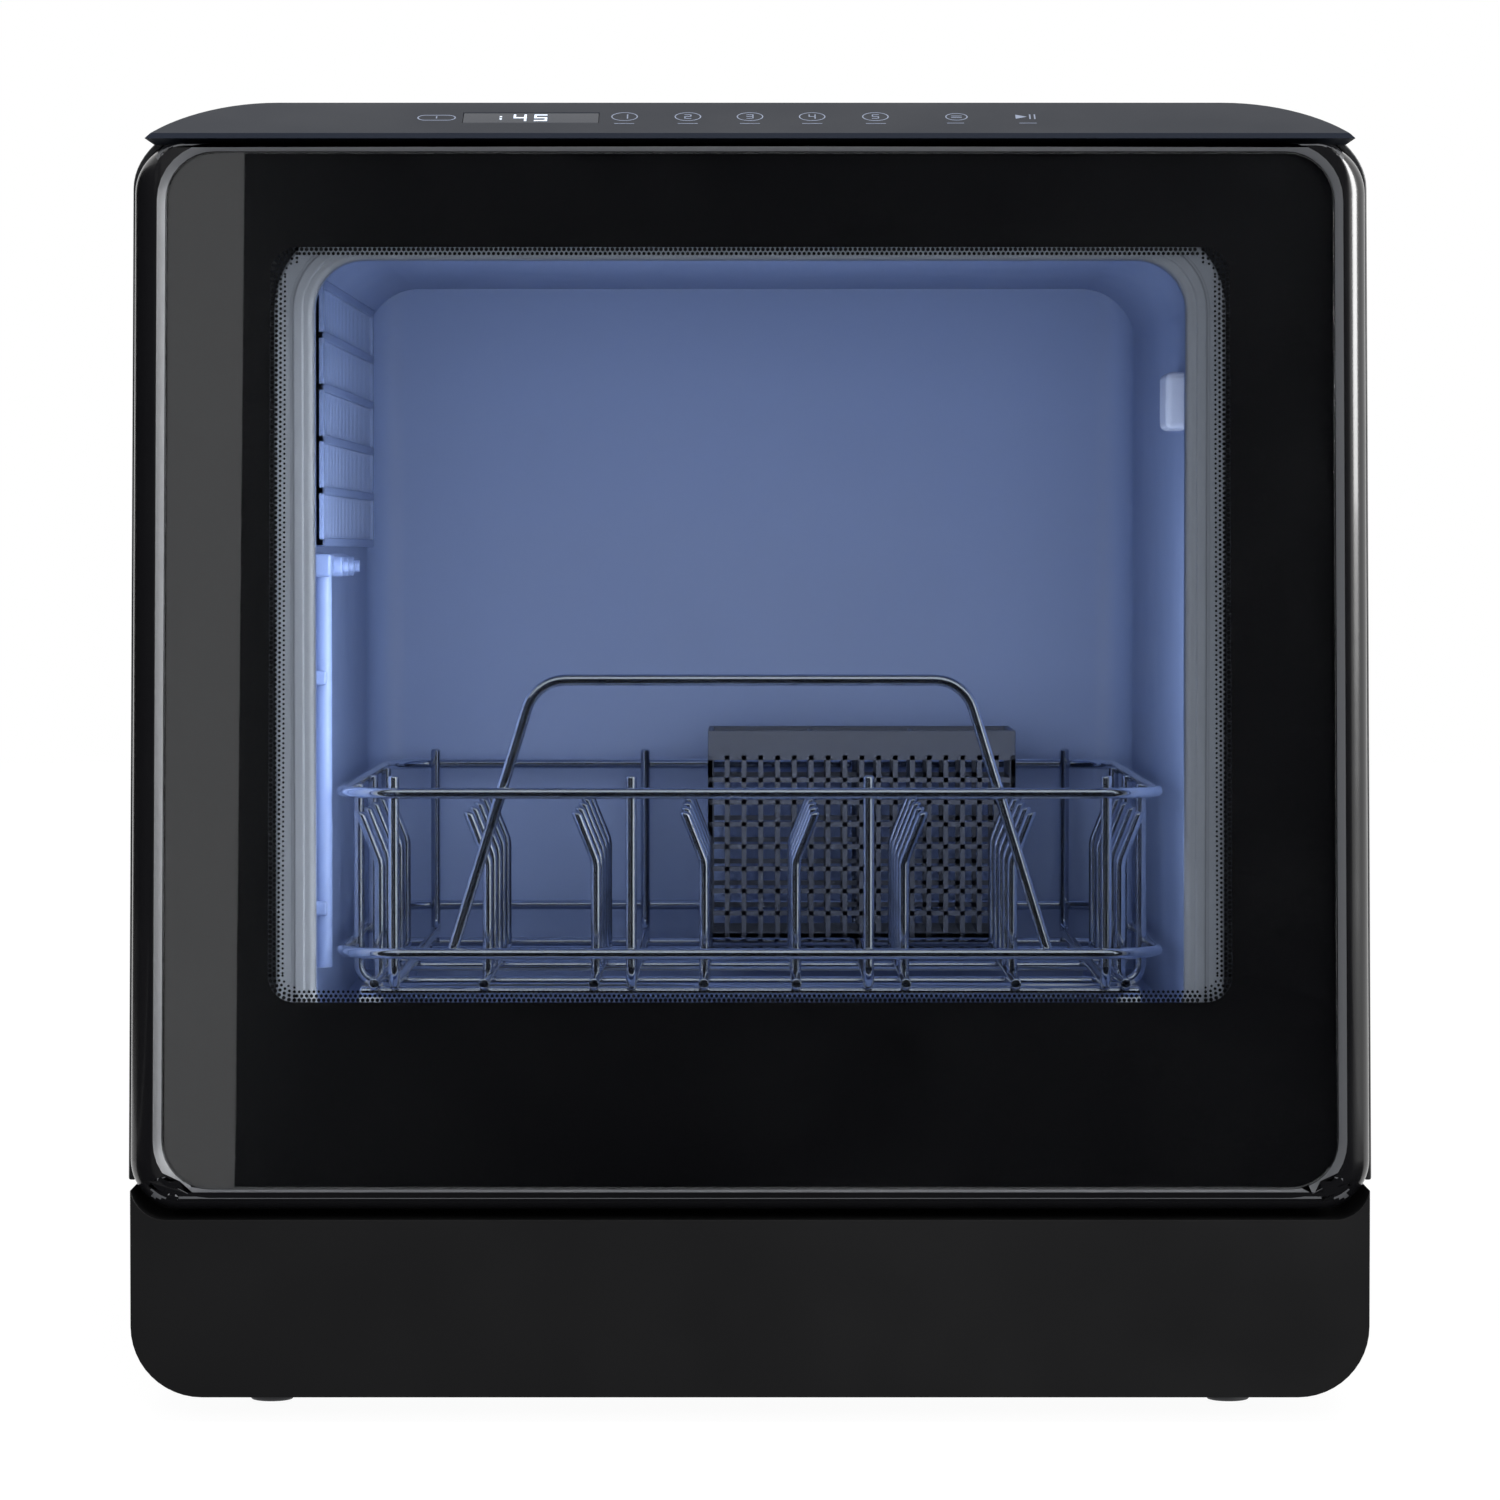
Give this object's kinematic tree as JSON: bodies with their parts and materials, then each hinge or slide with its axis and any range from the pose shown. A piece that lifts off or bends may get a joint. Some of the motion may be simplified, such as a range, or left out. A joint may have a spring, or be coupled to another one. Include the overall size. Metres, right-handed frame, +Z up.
{
  "type": "countertop dishwasher",
  "caption": "Compact countertop dishwasher with a glass drop-down door, dark casing, sloping touch panel, wire basket, cutlery basket, spray arm, pumps and built-in water tank.",
  "frame": {"origin": "middle of the footprint on the surface that the feet stand on; the footprint runs from the door's face to the ends of the rear connectors", "axes": "+X to the right as seen from the front, +Y to the rear, +Z up; the door faces -Y"},
  "size_m": [0.426, 0.43, 0.447],
  "materials": {
    "casing_shell": "satin moulded plastic, very dark grey",
    "cover_plastic": "matt moulded plastic, near black",
    "base_plastic": "satin moulded plastic, near black",
    "panel_slate": "satin slate-grey touch panel with small icons",
    "display_lens": "smoked lens with lit digits",
    "fascia_plastic": "matt dark plastic",
    "door_plastic": "satin dark-grey frame with rolled edges",
    "liner_plastic": "matt dark-grey liner",
    "smoked_glass": "clear glass with a slight grey tint",
    "clear_pane": "clear glass",
    "black_enamel": "black enamel with a dotted inner edge",
    "seal_rubber": "soft grey rubber",
    "tub_blue": "satin blue-grey moulded plastic",
    "trim_blue": "satin blue-grey moulded trim",
    "lamp_white": "milky lens",
    "wire_chrome": "bright drawn wire, welded at the crossings",
    "glide_plastic": "pale grey plastic",
    "cutlery_plastic": "grey moulded lattice",
    "arm_plastic": "grey moulded plastic",
    "bright_steel": "bright steel",
    "satin_steel": "brushed steel",
    "motor_steel": "dark painted metal",
    "pump_plastic": "dark moulded plastic",
    "rotor_plastic": "grey moulded plastic",
    "hose_rubber": "black rubber",
    "tank_plastic": "milky translucent plastic",
    "lid_plastic": "satin dark plastic",
    "board_green": "green circuit board",
    "heater_ceramic": "pale ceramic"
  },
  "bodies": {
    "body": {"casing": "casing_shell", "rear_cover": "cover_plastic", "rear_screws": "bright_steel", "base_shell": "base_plastic", "feet": "hose_rubber", "front_fascia": "fascia_plastic", "control_panel": "panel_slate", "display_window": "display_lens", "control_board": "board_green", "fill_funnel": "lid_plastic", "tub": "tub_blue", "tub_seal": "seal_rubber", "basket_ledges": "tub_blue", "air_grille": "trim_blue", "air_duct": "fascia_plastic", "fan_housing": "fascia_plastic", "fan_motor": "motor_steel", "dry_heater": "heater_ceramic", "lamp_lens": "lamp_white", "nozzle_rail": "trim_blue", "feed_pipe": "trim_blue", "spray_hub": "arm_plastic", "filter_plate": "satin_steel", "sump": "pump_plastic", "sump_hose": "hose_rubber", "wash_pump": "pump_plastic", "wash_motor": "motor_steel", "spray_hose": "hose_rubber", "water_heater": "satin_steel", "drain_pump": "pump_plastic", "drain_hose": "hose_rubber", "water_tank": "tank_plastic", "tank_hose": "hose_rubber", "inlet_valve": "glide_plastic", "cord_gland": "hose_rubber", "float_switch": "pump_plastic", "power_board": "board_green", "latch_housing": "fascia_plastic", "latch_spring": "bright_steel", "hinge_brackets": "satin_steel"},
    "door": {"door_frame": "door_plastic", "door_glass": "smoked_glass", "glass_border": "black_enamel", "door_liner": "liner_plastic", "inner_window": "clear_pane", "latch_striker": "bright_steel", "hinge_pins": "bright_steel"},
    "basket": {"basket_frame": "wire_chrome", "basket_tines": "wire_chrome", "basket_handle": "wire_chrome", "basket_glides": "glide_plastic"},
    "cutlery": {"cutlery_basket": "cutlery_plastic"},
    "spray_rotor": {"spray_arm": "arm_plastic"},
    "fan_rotor": {"fan_wheel": "rotor_plastic"},
    "wash_rotor": {"wash_impeller": "rotor_plastic"},
    "drain_rotor": {"drain_impeller": "rotor_plastic"},
    "filter": {"filter_cup": "arm_plastic"},
    "lid": {"fill_lid": "lid_plastic"},
    "pawl": {"latch_pawl": "glide_plastic"},
    "float_body": {"float": "glide_plastic"}
  },
  "joints": [
    {"name": "door_hinge", "type": "hinge", "parent": "body", "child": "door", "pos_m": [0, -0.203, 0.093], "axis": [1, 0, 0], "range_deg": [0, 90]},
    {"name": "basket_slide", "type": "slide", "parent": "body", "child": "basket", "axis": [0, -1, 0], "range_m": [0, 0.095]},
    {"name": "cutlery_lift", "type": "slide", "parent": "basket", "child": "cutlery", "axis": [0, 0, 1], "range_m": [0, 0.1]},
    {"name": "spray_spin", "type": "hinge", "parent": "body", "child": "spray_rotor", "pos_m": [0, -0.013, 0.117], "axis": [0, 0, 1], "continuous": true},
    {"name": "fan_spin", "type": "hinge", "parent": "body", "child": "fan_rotor", "pos_m": [-0.182, 0.04, 0.2], "axis": [1, 0, 0], "continuous": true},
    {"name": "wash_spin", "type": "hinge", "parent": "body", "child": "wash_rotor", "pos_m": [0.021, 0.016, 0.046], "axis": [0, 1, 0], "continuous": true},
    {"name": "drain_spin", "type": "hinge", "parent": "body", "child": "drain_rotor", "pos_m": [-0.124, -0.09, 0.04], "axis": [1, 0, 0], "continuous": true},
    {"name": "filter_turn", "type": "hinge", "parent": "body", "child": "filter", "pos_m": [-0.07, -0.09, 0.09], "axis": [0, 0, 1], "range_deg": [0, 45]},
    {"name": "lid_hinge", "type": "hinge", "parent": "body", "child": "lid", "pos_m": [0.117, 0.1457, 0.4452], "axis": [-1, 0, 0], "range_deg": [0, 95]},
    {"name": "pawl_pivot", "type": "hinge", "parent": "body", "child": "pawl", "pos_m": [0, -0.15, 0.429], "axis": [-1, 0, 0], "range_deg": [0, 10], "stiffness_Nm_per_rad": 0.05, "springref_deg": -11.46},
    {"name": "float_lift", "type": "slide", "parent": "body", "child": "float_body", "axis": [0, 0, 1], "range_m": [0, 0.008]}
  ],
  "couplings": [
    {"joint": "basket_slide", "follows": "door_hinge", "m_per_rad": 0.06}
  ]
}
